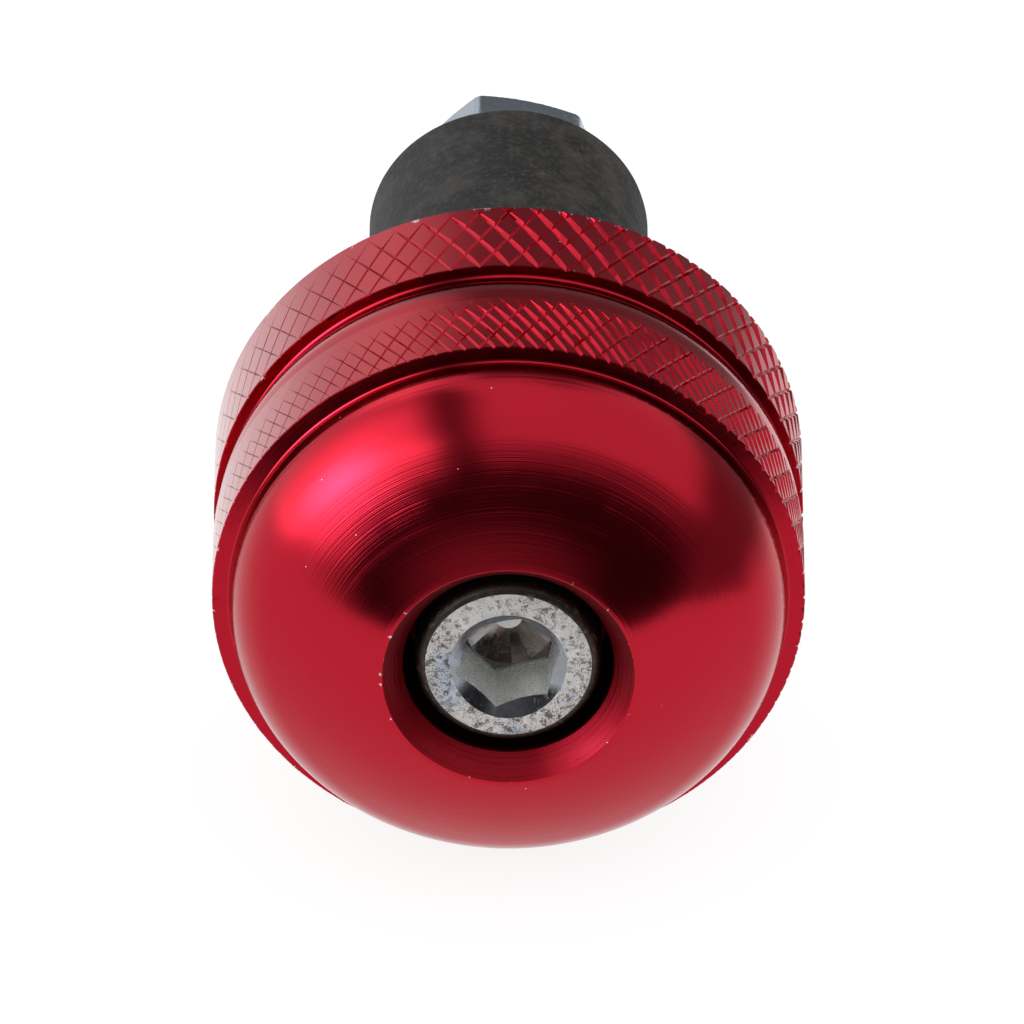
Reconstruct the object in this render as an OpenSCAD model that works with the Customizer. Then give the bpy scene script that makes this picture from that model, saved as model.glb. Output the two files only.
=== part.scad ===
// Bar end weight: a turned, knurled weight with a domed nose, held on the end of a
// handlebar tube by a cap screw that draws a nut against a rubber sleeve in the bore.
// The common axis runs along +Y, the dome looks towards -Y and +Z is up. The origin
// is the middle of the weight's rear face, where it butts against the end of the bar.

/* [Weight] */
// Length of the weight from the rim of its mouth to its rear face
weight_l = 22; // [21:0.5:26]
// Diameter over the knurl of both bands
band_d = 32; // [31.6:0.1:34]
// Diameter of the dome at its base
dome_d = 30.1; // [29:0.1:30.4]
// Length of the dome from the rim of the mouth to the front band
dome_l = 7.85; // [7.7:0.05:8.5]
// Radius of the dome's crown, the shallow curve round the mouth
crown_r = 21; // [20:0.5:26]
// Radius of the dome's flank, where it rolls over towards its base
flank_r = 5.5; // [4.5:0.25:6]
// Width of the knurl on the front band
front_knurl_l = 5.05; // [4:0.05:5.4]
// Width of the smooth strip behind the front knurl
plain_l = 0.6; // [0.3:0.05:0.9]
// Drop of the smooth strip below the tops of the knurl
plain_drop = 0.1; // [0.06:0.01:0.14]
// Radius of the curve that runs from the smooth strip down into the groove
runoff_r = 4; // [3:0.25:5]
// Depth of the groove between the bands, below the smooth strip
groove_d = 0.6; // [0.4:0.05:0.65]
// Width of the rear band, which is knurled all over
rear_band_l = 5.95; // [5:0.05:6.2]

/* [Knurl] */
// Distance along the rim from one groove to the next
knurl_pitch = 1.57; // [1.5:0.01:1.8]
// Grooves of the fine family of the front band for each groove of the other family
fine_ratio = 2; // [1:1:2]
// Angle of the grooves away from the axis
knurl_angle = 30; // [28:1:35]
// Width of a groove at its mouth
knurl_w = 0.46; // [0.3:0.02:0.5]
// Depth of a groove
knurl_d = 0.25; // [0.16:0.01:0.3]
// Chamfer on the edges of the bands
band_chamfer = 0.1; // [0.06:0.02:0.3]

/* [Mouth and bore] */
// Diameter of the mouth in the dome
mouth_d = 13.6; // [13:0.1:14.2]
// Depth of the chamfer inside the mouth
mouth_chamfer_l = 1.37; // [1:0.01:1.6]
// Clearance all round the screw's head in its counterbore
head_clearance = 0.67; // [0.4:0.01:0.9]
// Depth of the screw's head below the rim of the mouth
head_sunk = 1.22; // [0.8:0.01:1.6]
// Clearance all round the screw in the bores of the weight and the sleeve
bore_clearance = 0.25; // [0.1:0.05:0.5]

/* [Screw] */
// Diameter of the screw's shank, over its thread
screw_d = 6; // [5:0.5:6]
// Length of thread that stands out behind the nut
thread_past_nut = 1.12; // [0.8:0.01:5]
// Diameter of the screw's head
head_d = 10; // [9.5:0.1:10.4]
// Height of the screw's head
head_h = 6; // [5:0.5:6.5]
// Rounding of the head's upper edge
head_round = 0.55; // [0.3:0.05:0.8]
// Width of the hexagon socket across its flats
socket_w = 5; // [4:0.5:5]
// Depth of the socket's flats
socket_d = 3.7; // [2.5:0.1:3.9]
// Diameter of the flat disc in the middle of the socket's drilled floor
socket_flat_d = 1.5; // [1:0.1:2.5]
// Turn of the socket about the axis
socket_turn = -14; // [-30:1:30]
// Chamfer round the socket's corners on the face of the head
socket_chamfer = 0.2; // [0.1:0.05:0.3]
// Chamfer on the screw's tip
tip_chamfer = 0.6; // [0.3:0.1:0.9]

/* [Sleeve] */
// Outer diameter of the rubber sleeve
sleeve_d = 15.45; // [14:0.05:17]
// Length of the rubber sleeve
sleeve_l = 23.75; // [20:0.05:25]
// Rounding of the sleeve's rear edge
sleeve_round = 0.3; // [0.1:0.05:0.6]

/* [Nut] */
// Width of the nut across its flats
nut_w = 10; // [9:0.5:11]
// Thickness of the nut
nut_h = 5.35; // [4:0.05:6]
// Clearance all round the screw in the nut, for the thread
nut_clearance = 0.05; // [0.03:0.01:0.1]
// Turn of the nut about the axis
nut_turn = 13; // [-30:1:30]

/* [Hidden] */
$fn = 96;

// Spare length by which a cutting shape runs past what it cuts
spare = 1;
// How far a turned form runs on inside the band that it carries
root_l = 3;
// Steps of an arc in a turned outline
arc_steps = 14;
// Angle of the nut's corner chamfer and of the socket's drilled floor
nut_chamfer_angle = 30;
floor_angle = 31;
// Corner radius of a hexagon for each unit of its half width across flats
corner_ratio = 1 / cos(30);

band_r = band_d / 2;
dome_r = dome_d / 2;
mouth_r = mouth_d / 2;
bore_r = screw_d / 2 + bore_clearance;
counterbore_r = head_d / 2 + head_clearance;
plain_r = band_r - plain_drop;
groove_r = plain_r - groove_d;

// Places along the axis, from the rear face at 0 forward to the mouth
mouth_z = -weight_l;
shoulder_z = mouth_z + dome_l;
seat_z = mouth_z + head_sunk + head_h;
front_knurl_end = shoulder_z + front_knurl_l;
runoff_z = front_knurl_end + plain_l;
rear_band_z = -rear_band_l;
nut_z = sleeve_l;
tip_z = nut_z + nut_h + thread_past_nut;

// The crown's centre lies on the axis, and the flank rolls on from it without a break
crown_z = mouth_z + sqrt(pow(crown_r, 2) - pow(mouth_r, 2));
flank_c = dome_r - flank_r;
flank_z = crown_z - sqrt(pow(crown_r - flank_r, 2) - pow(flank_c, 2));
join_angle = atan2(flank_c, crown_z - flank_z);
mouth_angle = asin(mouth_r / crown_r);
runoff_angle = acos(1 - groove_d / runoff_r);

// The mouth's chamfer runs on inside the counterbore, which then cuts it off
chamfer_end = mouth_z + mouth_chamfer_l + spare;
chamfer_end_r = counterbore_r - spare * (mouth_r - counterbore_r) / mouth_chamfer_l;

// Points of an arc about [r, z], at angles counted from the axis's front end
function arc(r, z, radius, from, to) =
    [for (k = [0 : arc_steps])
        let (a = from + (to - from) * k / arc_steps)
        [r + radius * sin(a), z - radius * cos(a)]];

// Stands a form turned about Z along the bar's axis, its front end towards -Y
module along_bar() {
    rotate([-90, 0, 0]) children();
}

// Point where two grooves meet: line i of one family, line j of the other, at radius r
function knurl_point(i, j, count_i, count_j, r) =
    let (turn = -180 * (i / count_i + j / count_j))
    [r * cos(turn), r * sin(turn), (i / count_i - j / count_j) * PI * band_r / tan(knurl_angle)];

// Diamond knurl on a solid rim, its rows centred on z = 0 and ending past +-length / 2.
// The grooves of the second family lie ratio times as close as those of the first.
// A cell (i, t) lies between lines i and i + 1 of the first family and lines j and
// j + 1 of the second, with j = ratio * i - t, so that t counts rows along the axis.
module knurl(ratio, length) {
    low_r = band_r - knurl_d;
    count_i = round(2 * PI * band_r / knurl_pitch);
    count_j = count_i * ratio;
    row_l = PI * band_r / tan(knurl_angle) / count_j;
    rows = ceil(length / row_l);
    last_t = rows + ratio - 1;
    inset = knurl_w / 2 / (2 * PI * band_r * cos(knurl_angle));
    inset_i = inset * count_i;
    inset_j = inset * count_j;
    stride = last_t + ratio + 2;

    floors = [for (i = [0 : count_i - 1], t = [-1 : last_t + ratio])
        knurl_point(i, ratio * i - t, count_i, count_j, low_r)];
    tops = [for (i = [0 : count_i - 1], t = [0 : last_t])
        let (j = ratio * i - t)
        for (corner = [[inset_i, inset_j], [1 - inset_i, inset_j],
                       [1 - inset_i, 1 - inset_j], [inset_i, 1 - inset_j]])
            knurl_point(i + corner.x, j + corner.y, count_i, count_j, band_r)];
    front_tip = len(floors) + len(tops);
    ends = [[0, 0, -4 * row_l], [0, 0, (last_t + 4 + ratio) * row_l]];

    function floor_of(i, t) = (i % count_i) * stride + t + 1;
    function top_of(i, t, corner) = len(floors) + (i * (last_t + 1) + t) * 4 + corner;

    // The flat top of a cell and the four slopes down to the grooves round it
    cells = [for (i = [0 : count_i - 1], t = [0 : last_t])
        let (
            low = [floor_of(i, t), floor_of(i + 1, t + ratio),
                   floor_of(i + 1, t + ratio - 1), floor_of(i, t - 1)],
            top = [for (corner = [0 : 3]) top_of(i, t, corner)]
        )
        each concat(
            [[top[0], top[1], top[2]], [top[0], top[2], top[3]]],
            [for (side = [0 : 3])
                let (next = (side + 1) % 4)
                each [[low[side], low[next], top[next]], [low[side], top[next], top[side]]]])];

    // The saw-toothed ends close on two points of the axis
    front_edge = [for (i = [0 : count_i - 1])
        each concat([floor_of(i, -1)], [for (t = [ratio - 1 : -1 : 0]) floor_of(i + 1, t)])];
    rear_edge = [for (i = [0 : count_i - 1]) for (t = [0 : ratio]) floor_of(i, last_t + t)];
    edge_n = len(front_edge);
    fans = concat(
        [for (k = [0 : edge_n - 1])
            [front_tip, front_edge[(k + 1) % edge_n], front_edge[k]]],
        [for (i = [0 : count_i - 1])
            [front_tip + 1, floor_of(i, last_t), floor_of(i + 1, last_t + ratio)]],
        [for (i = [0 : count_i - 1]) for (t = [0 : ratio - 1])
            [front_tip + 1, floor_of(i, last_t + t + 1), floor_of(i, last_t + t)]]);

    translate([0, 0, -length / 2 - (ratio - 1 + (rows - length / row_l) / 2) * row_l])
        polyhedron(concat(floors, tops, ends), concat(cells, fans));
}

// Rim of a band: the knurl cut off flat at both ends, with chamfered edges
module knurled_band(z, length, ratio, rear_chamfer) {
    reach = band_r + spare;
    intersection() {
        translate([0, 0, z + length / 2]) knurl(ratio, length);
        rotate_extrude() polygon([
            [0, z],
            [band_r - band_chamfer, z],
            [reach, z + band_chamfer + spare],
            [reach, z + length - rear_chamfer - spare],
            [band_r - rear_chamfer, z + length],
            [0, z + length]
        ]);
    }
}

// Outline of the turned blank: mouth, dome, body under the bands, smooth strip and groove
module blank() {
    rotate_extrude() polygon(concat(
        [[0, chamfer_end], [chamfer_end_r, chamfer_end]],
        arc(0, crown_z, crown_r, mouth_angle, join_angle),
        arc(flank_c, flank_z, flank_r, join_angle, 90),
        [[dome_r, front_knurl_end - band_chamfer / 2], [plain_r, front_knurl_end - band_chamfer / 2]],
        arc(plain_r - runoff_r, runoff_z, runoff_r, 90, 90 + runoff_angle),
        [[groove_r, rear_band_z + root_l], [0, rear_band_z + root_l]]
    ));
}

// The turned weight, bored for the screw and counterbored for its head
module weight_body() {
    color([0.62, 0.04, 0.1])
    along_bar()
    difference() {
        union() {
            blank();
            knurled_band(shoulder_z, front_knurl_l, fine_ratio, plain_drop + band_chamfer);
            knurled_band(rear_band_z, rear_band_l, 1, band_chamfer);
        }
        translate([0, 0, mouth_z - spare]) cylinder(r = bore_r, h = weight_l + 2 * spare);
        translate([0, 0, mouth_z - spare]) cylinder(r = counterbore_r, h = seat_z - mouth_z + spare);
    }
}

// Cap screw with a hexagon socket, its head seated in the weight's counterbore
module socket_screw() {
    head_r = head_d / 2;
    screw_r = screw_d / 2;
    head_z = seat_z - head_h;
    socket_r = socket_w / 2;
    flat_r = socket_flat_d / 2;
    corner_r = socket_r * corner_ratio;
    color([0.76, 0.76, 0.74])
    along_bar()
    difference() {
        rotate_extrude() polygon(concat(
            [[0, head_z]],
            arc(head_r - head_round, head_z + head_round, head_round, 0, 90),
            [[head_r, seat_z], [screw_r, seat_z],
             [screw_r, tip_z - tip_chamfer], [screw_r - tip_chamfer, tip_z], [0, tip_z]]
        ));
        translate([0, 0, head_z - spare]) rotate([0, 0, socket_turn])
            cylinder(r = corner_r, h = socket_d + spare, $fn = 6);
        translate([0, 0, head_z + socket_d])
            cylinder(r1 = socket_r, r2 = flat_r, h = (socket_r - flat_r) * tan(floor_angle));
        translate([0, 0, head_z - spare])
            cylinder(r1 = corner_r + socket_chamfer + spare, r2 = corner_r + socket_chamfer - spare, h = 2 * spare);
    }
}

// Rubber sleeve that swells in the bar's bore when the nut is drawn up
module rubber_sleeve() {
    sleeve_r = sleeve_d / 2;
    color([0.17, 0.16, 0.15])
    along_bar()
    difference() {
        rotate_extrude() polygon(concat(
            [[0, 0], [sleeve_r, 0]],
            arc(sleeve_r - sleeve_round, sleeve_l - sleeve_round, sleeve_round, 90, 180),
            [[0, sleeve_l]]
        ));
        translate([0, 0, -spare]) cylinder(r = bore_r, h = sleeve_l + 2 * spare);
    }
}

// Hexagon nut against the sleeve's rear end, its corners chamfered on both sides
module hex_nut() {
    flat_r = nut_w / 2;
    corner_r = flat_r * corner_ratio;
    drop = (corner_r - flat_r + spare) * tan(nut_chamfer_angle);
    color([0.72, 0.73, 0.74])
    along_bar()
    difference() {
        intersection() {
            translate([0, 0, nut_z]) rotate([0, 0, nut_turn])
                cylinder(r = corner_r, h = nut_h, $fn = 6);
            rotate_extrude() polygon([
                [0, nut_z],
                [flat_r, nut_z],
                [corner_r + spare, nut_z + drop],
                [corner_r + spare, nut_z + nut_h - drop],
                [flat_r, nut_z + nut_h],
                [0, nut_z + nut_h]
            ]);
        }
        translate([0, 0, nut_z - spare])
            cylinder(r = screw_d / 2 + nut_clearance, h = nut_h + 2 * spare);
    }
}

weight_body();
socket_screw();
rubber_sleeve();
hex_nut();
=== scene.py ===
# %% [markdown]
# # A bar end weight
#
# A turned and knurled aluminium weight closes the end of a handlebar. A cap screw runs
# through it and draws a nut against a rubber sleeve, which swells inside the tube. The
# construction comes in as a fixed frame of four solids. Here each of them gets a finer
# mesh and a finish, and then a floor, a studio and a camera.

# %% Load the frame
import math

import bmesh
import bpy
from mathutils import Matrix, Vector, noise


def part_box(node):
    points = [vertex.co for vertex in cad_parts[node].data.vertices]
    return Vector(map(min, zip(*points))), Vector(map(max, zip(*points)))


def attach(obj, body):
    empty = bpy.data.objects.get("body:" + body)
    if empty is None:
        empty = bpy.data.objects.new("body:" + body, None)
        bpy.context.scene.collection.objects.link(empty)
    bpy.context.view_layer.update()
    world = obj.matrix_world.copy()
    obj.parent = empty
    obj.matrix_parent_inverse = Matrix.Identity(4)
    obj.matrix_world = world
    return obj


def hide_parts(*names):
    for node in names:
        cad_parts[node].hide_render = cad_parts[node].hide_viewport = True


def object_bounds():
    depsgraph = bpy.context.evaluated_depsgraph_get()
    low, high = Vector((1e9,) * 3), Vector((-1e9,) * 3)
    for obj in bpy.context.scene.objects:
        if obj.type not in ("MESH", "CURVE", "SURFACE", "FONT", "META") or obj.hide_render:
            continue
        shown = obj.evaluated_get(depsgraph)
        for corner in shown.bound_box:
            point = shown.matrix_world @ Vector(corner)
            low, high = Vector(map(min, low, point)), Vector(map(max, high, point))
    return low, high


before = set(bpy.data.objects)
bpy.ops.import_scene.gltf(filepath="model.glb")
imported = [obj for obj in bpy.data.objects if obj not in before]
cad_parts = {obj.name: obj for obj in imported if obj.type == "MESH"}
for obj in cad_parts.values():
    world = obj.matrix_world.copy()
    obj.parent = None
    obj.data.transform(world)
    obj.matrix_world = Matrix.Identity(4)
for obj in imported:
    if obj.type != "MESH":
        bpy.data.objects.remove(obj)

cad_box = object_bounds()
print("CAD box", [[round(c, 5) for c in corner] for corner in cad_box])

# %% [markdown]
# ## Sizes
#
# A lathe part is easiest to think of as distances from its axis and places along it.
# The axis is Y, the weight's rear face is at y = 0 and the dome looks towards -Y. Sizes
# are in millimetres until a mesh is finished, because that is how such a part is drawn,
# and one scale at the end turns them into metres. The overall sizes are read from the
# frame, and the forms inside them follow the construction.

# %% Sizes of the weight
MM = 0.001
MERGE_MM = 1e-4


def box_mm(node):
    """Lowest and highest corner of a node, in millimetres."""
    low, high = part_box(node)
    return Vector(low) / MM, Vector(high) / MM


WEIGHT_L = -box_mm("weight_body")[0].y
BAND_R = box_mm("weight_body")[1].x
DOME_R = 15.05
DOME_L = 7.85
CROWN_R = 21.0
FLANK_R = 5.5
MOUTH_R = 6.8
COUNTERBORE_R = 5.67
MOUTH_CHAMFER_L = 1.37
BORE_R = 3.25
HEAD_SUNK = 1.22
HEAD_H = 6.0
REAR_BAND_L = 5.95
FRONT_KNURL_L = 5.05
PLAIN_L = 0.6
PLAIN_R = 15.9
RUNOFF_R = 4.0
GROOVE_R = 15.3
CORNER_FILLET = 0.2

MOUTH_Y = -WEIGHT_L
SHOULDER_Y = MOUTH_Y + DOME_L
HEAD_Y = MOUTH_Y + HEAD_SUNK
SEAT_Y = HEAD_Y + HEAD_H
FRONT_KNURL_END = SHOULDER_Y + FRONT_KNURL_L
RUNOFF_Y = FRONT_KNURL_END + PLAIN_L
REAR_BAND_Y = -REAR_BAND_L
print("weight", round(WEIGHT_L, 3), "mm long,", round(2 * BAND_R, 3), "mm over the knurl")

# %% [markdown]
# ## Turning a profile
#
# On a lathe every form is a profile swept round the axis. `bmesh.ops.spin` does the
# same with a row of edges. A full spin with `use_merge` joins its last copy to the
# first, so the skin closes on itself. The alternative, a Screw modifier on a curve,
# gives the same form but leaves less control over what is joined to it later.

# %% Helpers for turned forms
AXIS = Vector((0, 1, 0))
CENTRE = Vector((0, 0, 0))


def arc(r, y, radius, start, end, steps):
    """Points (r, y) of an arc about (r, y), with angles counted from the -Y side."""
    angles = [start + (end - start) * k / steps for k in range(steps + 1)]
    return [(r + radius * math.sin(a), y - radius * math.cos(a)) for a in angles]


def inner_fillet(r, y, radius):
    """Points of the hollow corner between a cylinder of radius r and a wall at y."""
    return arc(r + radius, y - radius, -radius, math.pi / 2, 0, 5)


def spin_round(bm, geom, steps, **joining):
    """Sweeps geometry once round the axis."""
    full_turn = {"cent": CENTRE, "axis": AXIS, "angle": 2 * math.pi}
    bmesh.ops.spin(bm, geom=geom, steps=steps, **full_turn, **joining)


def turn_profile(bm, profile, steps):
    """Spins a profile of (r, y) points once round the axis."""
    verts = [bm.verts.new((r, y, 0)) for r, y in profile]
    edges = [bm.edges.new(pair) for pair in zip(verts, verts[1:])]
    spin_round(bm, verts + edges, steps, use_merge=True)


def turned_mesh(profile, steps, degrees=0):
    """A mesh turned from a profile, with one of its rows of points at this turn."""
    bm = bmesh.new()
    turn_profile(bm, profile, steps)
    turn = Matrix.Rotation(math.radians(degrees), 3, "Y")
    bmesh.ops.rotate(bm, cent=CENTRE, matrix=turn, verts=bm.verts)
    bmesh.ops.remove_doubles(bm, verts=bm.verts, dist=MERGE_MM)
    return bm


def ring_radius(point):
    """Distance of a point from the axis."""
    return math.hypot(point.x, point.z)


def ring_turn(point):
    """Angle of a point round the axis in degrees: 0 at the top, negative on the left."""
    return math.degrees(math.atan2(point.x, point.z))


def set_radius(vert, radius):
    """Moves a vertex straight towards or away from the axis."""
    factor = radius / ring_radius(vert.co)
    vert.co.x *= factor
    vert.co.z *= factor


def smooth(low, high, value):
    """Rises smoothly from 0 at low to 1 at high, or falls where low is the larger."""
    t = min(1.0, max(0.0, (value - low) / (high - low)))
    return t * t * (3 - 2 * t)


# %% Helpers that finish a piece
def add_object(name, data):
    """Puts a mesh or a camera into the scene as an object."""
    made = bpy.data.objects.new(name, data)
    bpy.context.scene.collection.objects.link(made)
    return made


def finish_piece(bm, name, node, materials, sharp_angle):
    """Makes the mesh an object in metres that stands for a node of the frame."""
    bmesh.ops.remove_doubles(bm, verts=bm.verts, dist=MERGE_MM)
    bmesh.ops.recalc_face_normals(bm, faces=bm.faces)
    bmesh.ops.scale(bm, vec=(MM, MM, MM), verts=bm.verts)
    for edge in bm.edges:
        edge.smooth &= len(edge.link_faces) == 2 and edge.calc_face_angle(0) < sharp_angle
    for face in bm.faces:
        face.smooth = True
    mesh = bpy.data.meshes.new(name)
    bm.to_mesh(mesh)
    open_edges = sum(len(edge.link_faces) != 2 for edge in bm.edges)
    bm.free()
    for material in materials:
        mesh.materials.append(material)
    piece = add_object(name, mesh)
    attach(piece, "root")
    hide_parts(node)
    triangles = sum(len(polygon.vertices) - 2 for polygon in mesh.polygons)
    print(name, triangles, "triangles,", open_edges, "open edges")


# %% [markdown]
# ## Shader maths
#
# A procedural finish is mostly arithmetic on positions and noise. Wrapping a socket in
# a small class lets that arithmetic be written as an expression, which adds one Math
# node for each operator.

# %% A socket that can be calculated with
class Wire:
    """An output socket of a node tree, on which an operator adds a Math node."""

    def __init__(self, tree, socket):
        self.tree = tree
        self.socket = socket

    def maths(self, operation, *others):
        """The result of one Math node on this wire and the others."""
        values = dict(enumerate((self, *others)))
        return self.tree.node("ShaderNodeMath", {"operation": operation}, values)

    def __add__(self, other):
        return self.maths("ADD", other)

    def __radd__(self, other):
        return self + other

    def __sub__(self, other):
        return self.maths("SUBTRACT", other)

    def __rsub__(self, other):
        return (self * -1) + other

    def __mul__(self, other):
        return self.maths("MULTIPLY", other)

    def __rmul__(self, other):
        return self * other

    def __truediv__(self, other):
        return self.maths("DIVIDE", other)

    def ramp(self, low, high):
        """Rises smoothly from 0 at low to 1 at high, or falls where low is the larger."""
        settings = {"interpolation_type": "SMOOTHSTEP"}
        if low < high:
            return self.tree.node("ShaderNodeMapRange", settings, {0: self, 1: low, 2: high})
        return 1 - self.ramp(high, low)

    def between(self, low, high, soft):
        """1 between low and high, 0 outside, with soft edges."""
        return self.ramp(low - soft, low + soft) * self.ramp(high + soft, high - soft)


# %% A tree that is filled node by node
class Tree:
    """A node tree that is filled one node at a time."""

    def __init__(self, node_tree):
        self.nodes = node_tree.nodes
        self.links = node_tree.links
        self.nodes.clear()

    def node(self, kind, settings=None, values=None, output=0):
        """Adds a node with its settings and the values or wires of its sockets."""
        made = self.nodes.new(kind)
        for name, value in (settings or {}).items():
            setattr(made, name, value)
        for name, value in (values or {}).items():
            if isinstance(value, Wire):
                self.links.new(value.socket, made.inputs[name])
            else:
                made.inputs[name].default_value = value
        if made.outputs:
            return Wire(self, made.outputs[output])
        return made


# %% Helpers for surface patterns
NOISE = {"Roughness": 0.6}
GRAIN_CORE = 0.6


def new_tree(name):
    """A material and its empty tree."""
    material = bpy.data.materials.new(name)
    material.use_nodes = True
    return material, Tree(material.node_tree)


def position_mm(tree):
    """The position on the object, in millimetres."""
    metres = tree.node("ShaderNodeTexCoord", output="Object")
    scale = {"operation": "SCALE"}
    return tree.node("ShaderNodeVectorMath", scale, {0: metres, "Scale": 1 / MM})


def parts_of(tree, vector):
    """The three numbers of a vector."""
    split = "ShaderNodeSeparateXYZ"
    return [tree.node(split, values={0: vector}, output=axis) for axis in "XYZ"]


def from_axis(tree, position):
    """Distance of a position from the axis."""
    flatten = {"operation": "MULTIPLY"}
    across = tree.node("ShaderNodeVectorMath", flatten, {0: position, 1: (1, 0, 1)})
    length = {"operation": "LENGTH"}
    return tree.node("ShaderNodeVectorMath", length, {0: across}, output="Value")


def rings(tree, place, per_mm):
    """Noise that changes only with the place across the turning marks."""
    values = {"W": place, "Scale": per_mm, "Detail": 2.0, **NOISE}
    return tree.node("ShaderNodeTexNoise", {"noise_dimensions": "1D"}, values)


def mottle(tree, position, per_mm, detail=4.0):
    """Cloudy noise in three dimensions."""
    values = {"Vector": position, "Scale": per_mm, "Detail": detail, **NOISE}
    return tree.node("ShaderNodeTexNoise", None, values)


def specks(tree, position, per_mm, size, share):
    """Small round grains: 1 in a few cells of a Voronoi pattern, 0 between them."""
    values = {"Vector": position, "Scale": per_mm}
    distance = tree.node("ShaderNodeTexVoronoi", None, values, output="Distance")
    colour = tree.node("ShaderNodeTexVoronoi", None, values, output="Color")
    chance = tree.node("ShaderNodeSeparateColor", values={0: colour}, output="Red")
    return distance.ramp(size, size * GRAIN_CORE) * chance.ramp(share + 0.01, share)


def mix_colour(tree, factor, first, second):
    """Blends two colours, each a wire or four numbers."""
    settings = {"data_type": "RGBA"}
    return tree.node("ShaderNodeMix", settings, {0: factor, 6: first, 7: second}, output=2)


def finish(tree, values, height, lift_mm):
    """Adds the shader with its values, and a bump from a height of 0 to 1."""
    bump = {"Height": height, "Distance": lift_mm * MM, "Strength": 1.0}
    values = {**values, "Normal": tree.node("ShaderNodeBump", None, bump)}
    shader = tree.node("ShaderNodeBsdfPrincipled", None, values)
    tree.node("ShaderNodeOutputMaterial", None, {"Surface": shader})


# %% [markdown]
# ## Red anodised aluminium
#
# Anodising grows a clear layer on the metal and dyes it. Light that crosses the dye
# comes back red, and light that glances off the top stays white. A metallic shader with
# a red base does both: it is red where seen straight on and pale where seen at a slant.
# The lathe leaves fine rings, which are a noise that depends only on the place across
# the cut. Two attributes that the mesh carries say where a burr or an arris has lost its
# dye, so that bare metal shows, and where a groove is so fine that it stays dark, so
# that painted shade is laid into it. Painted light also goes into some colours: a pale
# painted sheen on the knurl's left, and painted shade at the top of the side faces and
# in the bore.

# %% Anodised finishes
RED = (0.45, 0.012, 0.027, 1)
DEEP_RED = (0.27, 0.007, 0.015, 1)
# Painted shade: a dark red for the finest grooves, the bore and the tops of the side faces.
PAINTED_SHADE_RED = (0.07, 0.002, 0.004, 1)
# Painted sheen: the pale red of the knurl's left side.
PAINTED_SHEEN_RED = (0.62, 0.42, 0.44, 1)
BARE_METAL = (0.78, 0.68, 0.68, 1)
DUST = (0.80, 0.72, 0.70, 1)
FEED_MM = 0.15
LEAN = 0.8
DULL_DYE_X = -9, 2
# Where and how strongly the painted sheen is mixed in on the left.
PAINTED_SHEEN_X = -8, -15
PAINTED_SHEEN_SHARE = 0.3
# Heights between which the painted shade darkens a finish upwards.
PAINTED_SHADE_Z = 3.5, 10


def attribute(tree, name):
    """The value that the mesh carries at each vertex under this name."""
    return tree.node("ShaderNodeAttribute", {"attribute_name": name}, output="Fac")


def turning_marks(tree, position, path, per_mm, comb):
    """Height of the marks: fine and coarse rings, and the comb that the feed leaves."""
    feed = (path * (2 * math.pi / FEED_MM)).maths("SINE") * comb
    fine = rings(tree, path, per_mm)
    coarse = rings(tree, path, per_mm / 6)
    patch = mottle(tree, position, 0.22, 2.0).ramp(0.2, 0.7)
    return fine, (fine + feed) * patch + coarse * 0.5


def anodised(
    name,
    tint,
    roughness,
    lift_mm,
    per_mm,
    coat=0.0,
    comb=0.0,
    lean=LEAN,
    side_sheen=0.0,
    shade_top_tint=None,
):
    """A dyed metal with turning marks, bare arrises and a little dust.

    The marks are lift_mm high and come per_mm. Upwards the colour darkens to the top tint,
    which is painted shade. A finish with a side sheen has less coat on the right and a
    pale painted sheen mixed into its colour on the left.
    """
    material, tree = new_tree(name)
    position = position_mm(tree)
    aside, along, height = parts_of(tree, position)
    path = from_axis(tree, position) + along * lean
    fine, marks = turning_marks(tree, position, path, per_mm, comb)
    cloud = mottle(tree, position, 0.4)
    grain = mottle(tree, position, 14.0, 2.0)
    dust = specks(tree, position, 1.1, 0.045, 0.06)
    bare = (attribute(tree, "worn") * grain).ramp(0.36, 0.5)
    # Painted shade of the finest grooves, carried by the mesh.
    painted_groove_shade = attribute(tree, "painted_groove_shade")
    # Painted shade: the colour darkens towards the top tint higher up the part.
    painted_shade_up = (height + cloud * 3 - 1.5).ramp(*PAINTED_SHADE_Z)
    # Painted sheen: a pale red mixed in on the left, where the knurl catches white light at a
    # slant.
    painted_sheen = aside.ramp(*PAINTED_SHEEN_X) * (1 - painted_groove_shade) * side_sheen * PAINTED_SHEEN_SHARE
    colour = mix_colour(tree, painted_shade_up, tint, shade_top_tint or tint)
    colour = mix_colour(tree, cloud.ramp(0.3, 0.7) * 0.12, colour, RED)
    colour = mix_colour(tree, painted_groove_shade, colour, PAINTED_SHADE_RED)
    colour = mix_colour(tree, painted_sheen, colour, PAINTED_SHEEN_RED)
    colour = mix_colour(tree, bare, colour, BARE_METAL)
    colour = mix_colour(tree, dust, colour, DUST)
    values = {
        "Base Color": colour,
        "Metallic": 1.0 - dust * 0.8,
        "Roughness": roughness + fine * 0.06 + dust * 0.4 + bare * 0.15,
        "Coat Weight": (1 - aside.ramp(*DULL_DYE_X) * side_sheen) * coat * (1 - painted_groove_shade),
        "Coat Roughness": 0.15,
        "Coat IOR": 1.2,
    }
    finish(tree, values, marks + grain * 0.04, lift_mm)
    return material


turned_red = anodised("red_turned", RED, 0.13, 0.011, 5.5, coat=0.25, comb=0.07)
# The knurl gets the painted sheen on its left.
knurl_red = anodised("red_knurled", RED, 0.24, 0.003, 3.0, coat=1.0, side_sheen=0.85)
bored_red = anodised("red_bored", DEEP_RED, 0.43, 0.03, 3.0, coat=0.2, comb=0.1, lean=-LEAN)
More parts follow.
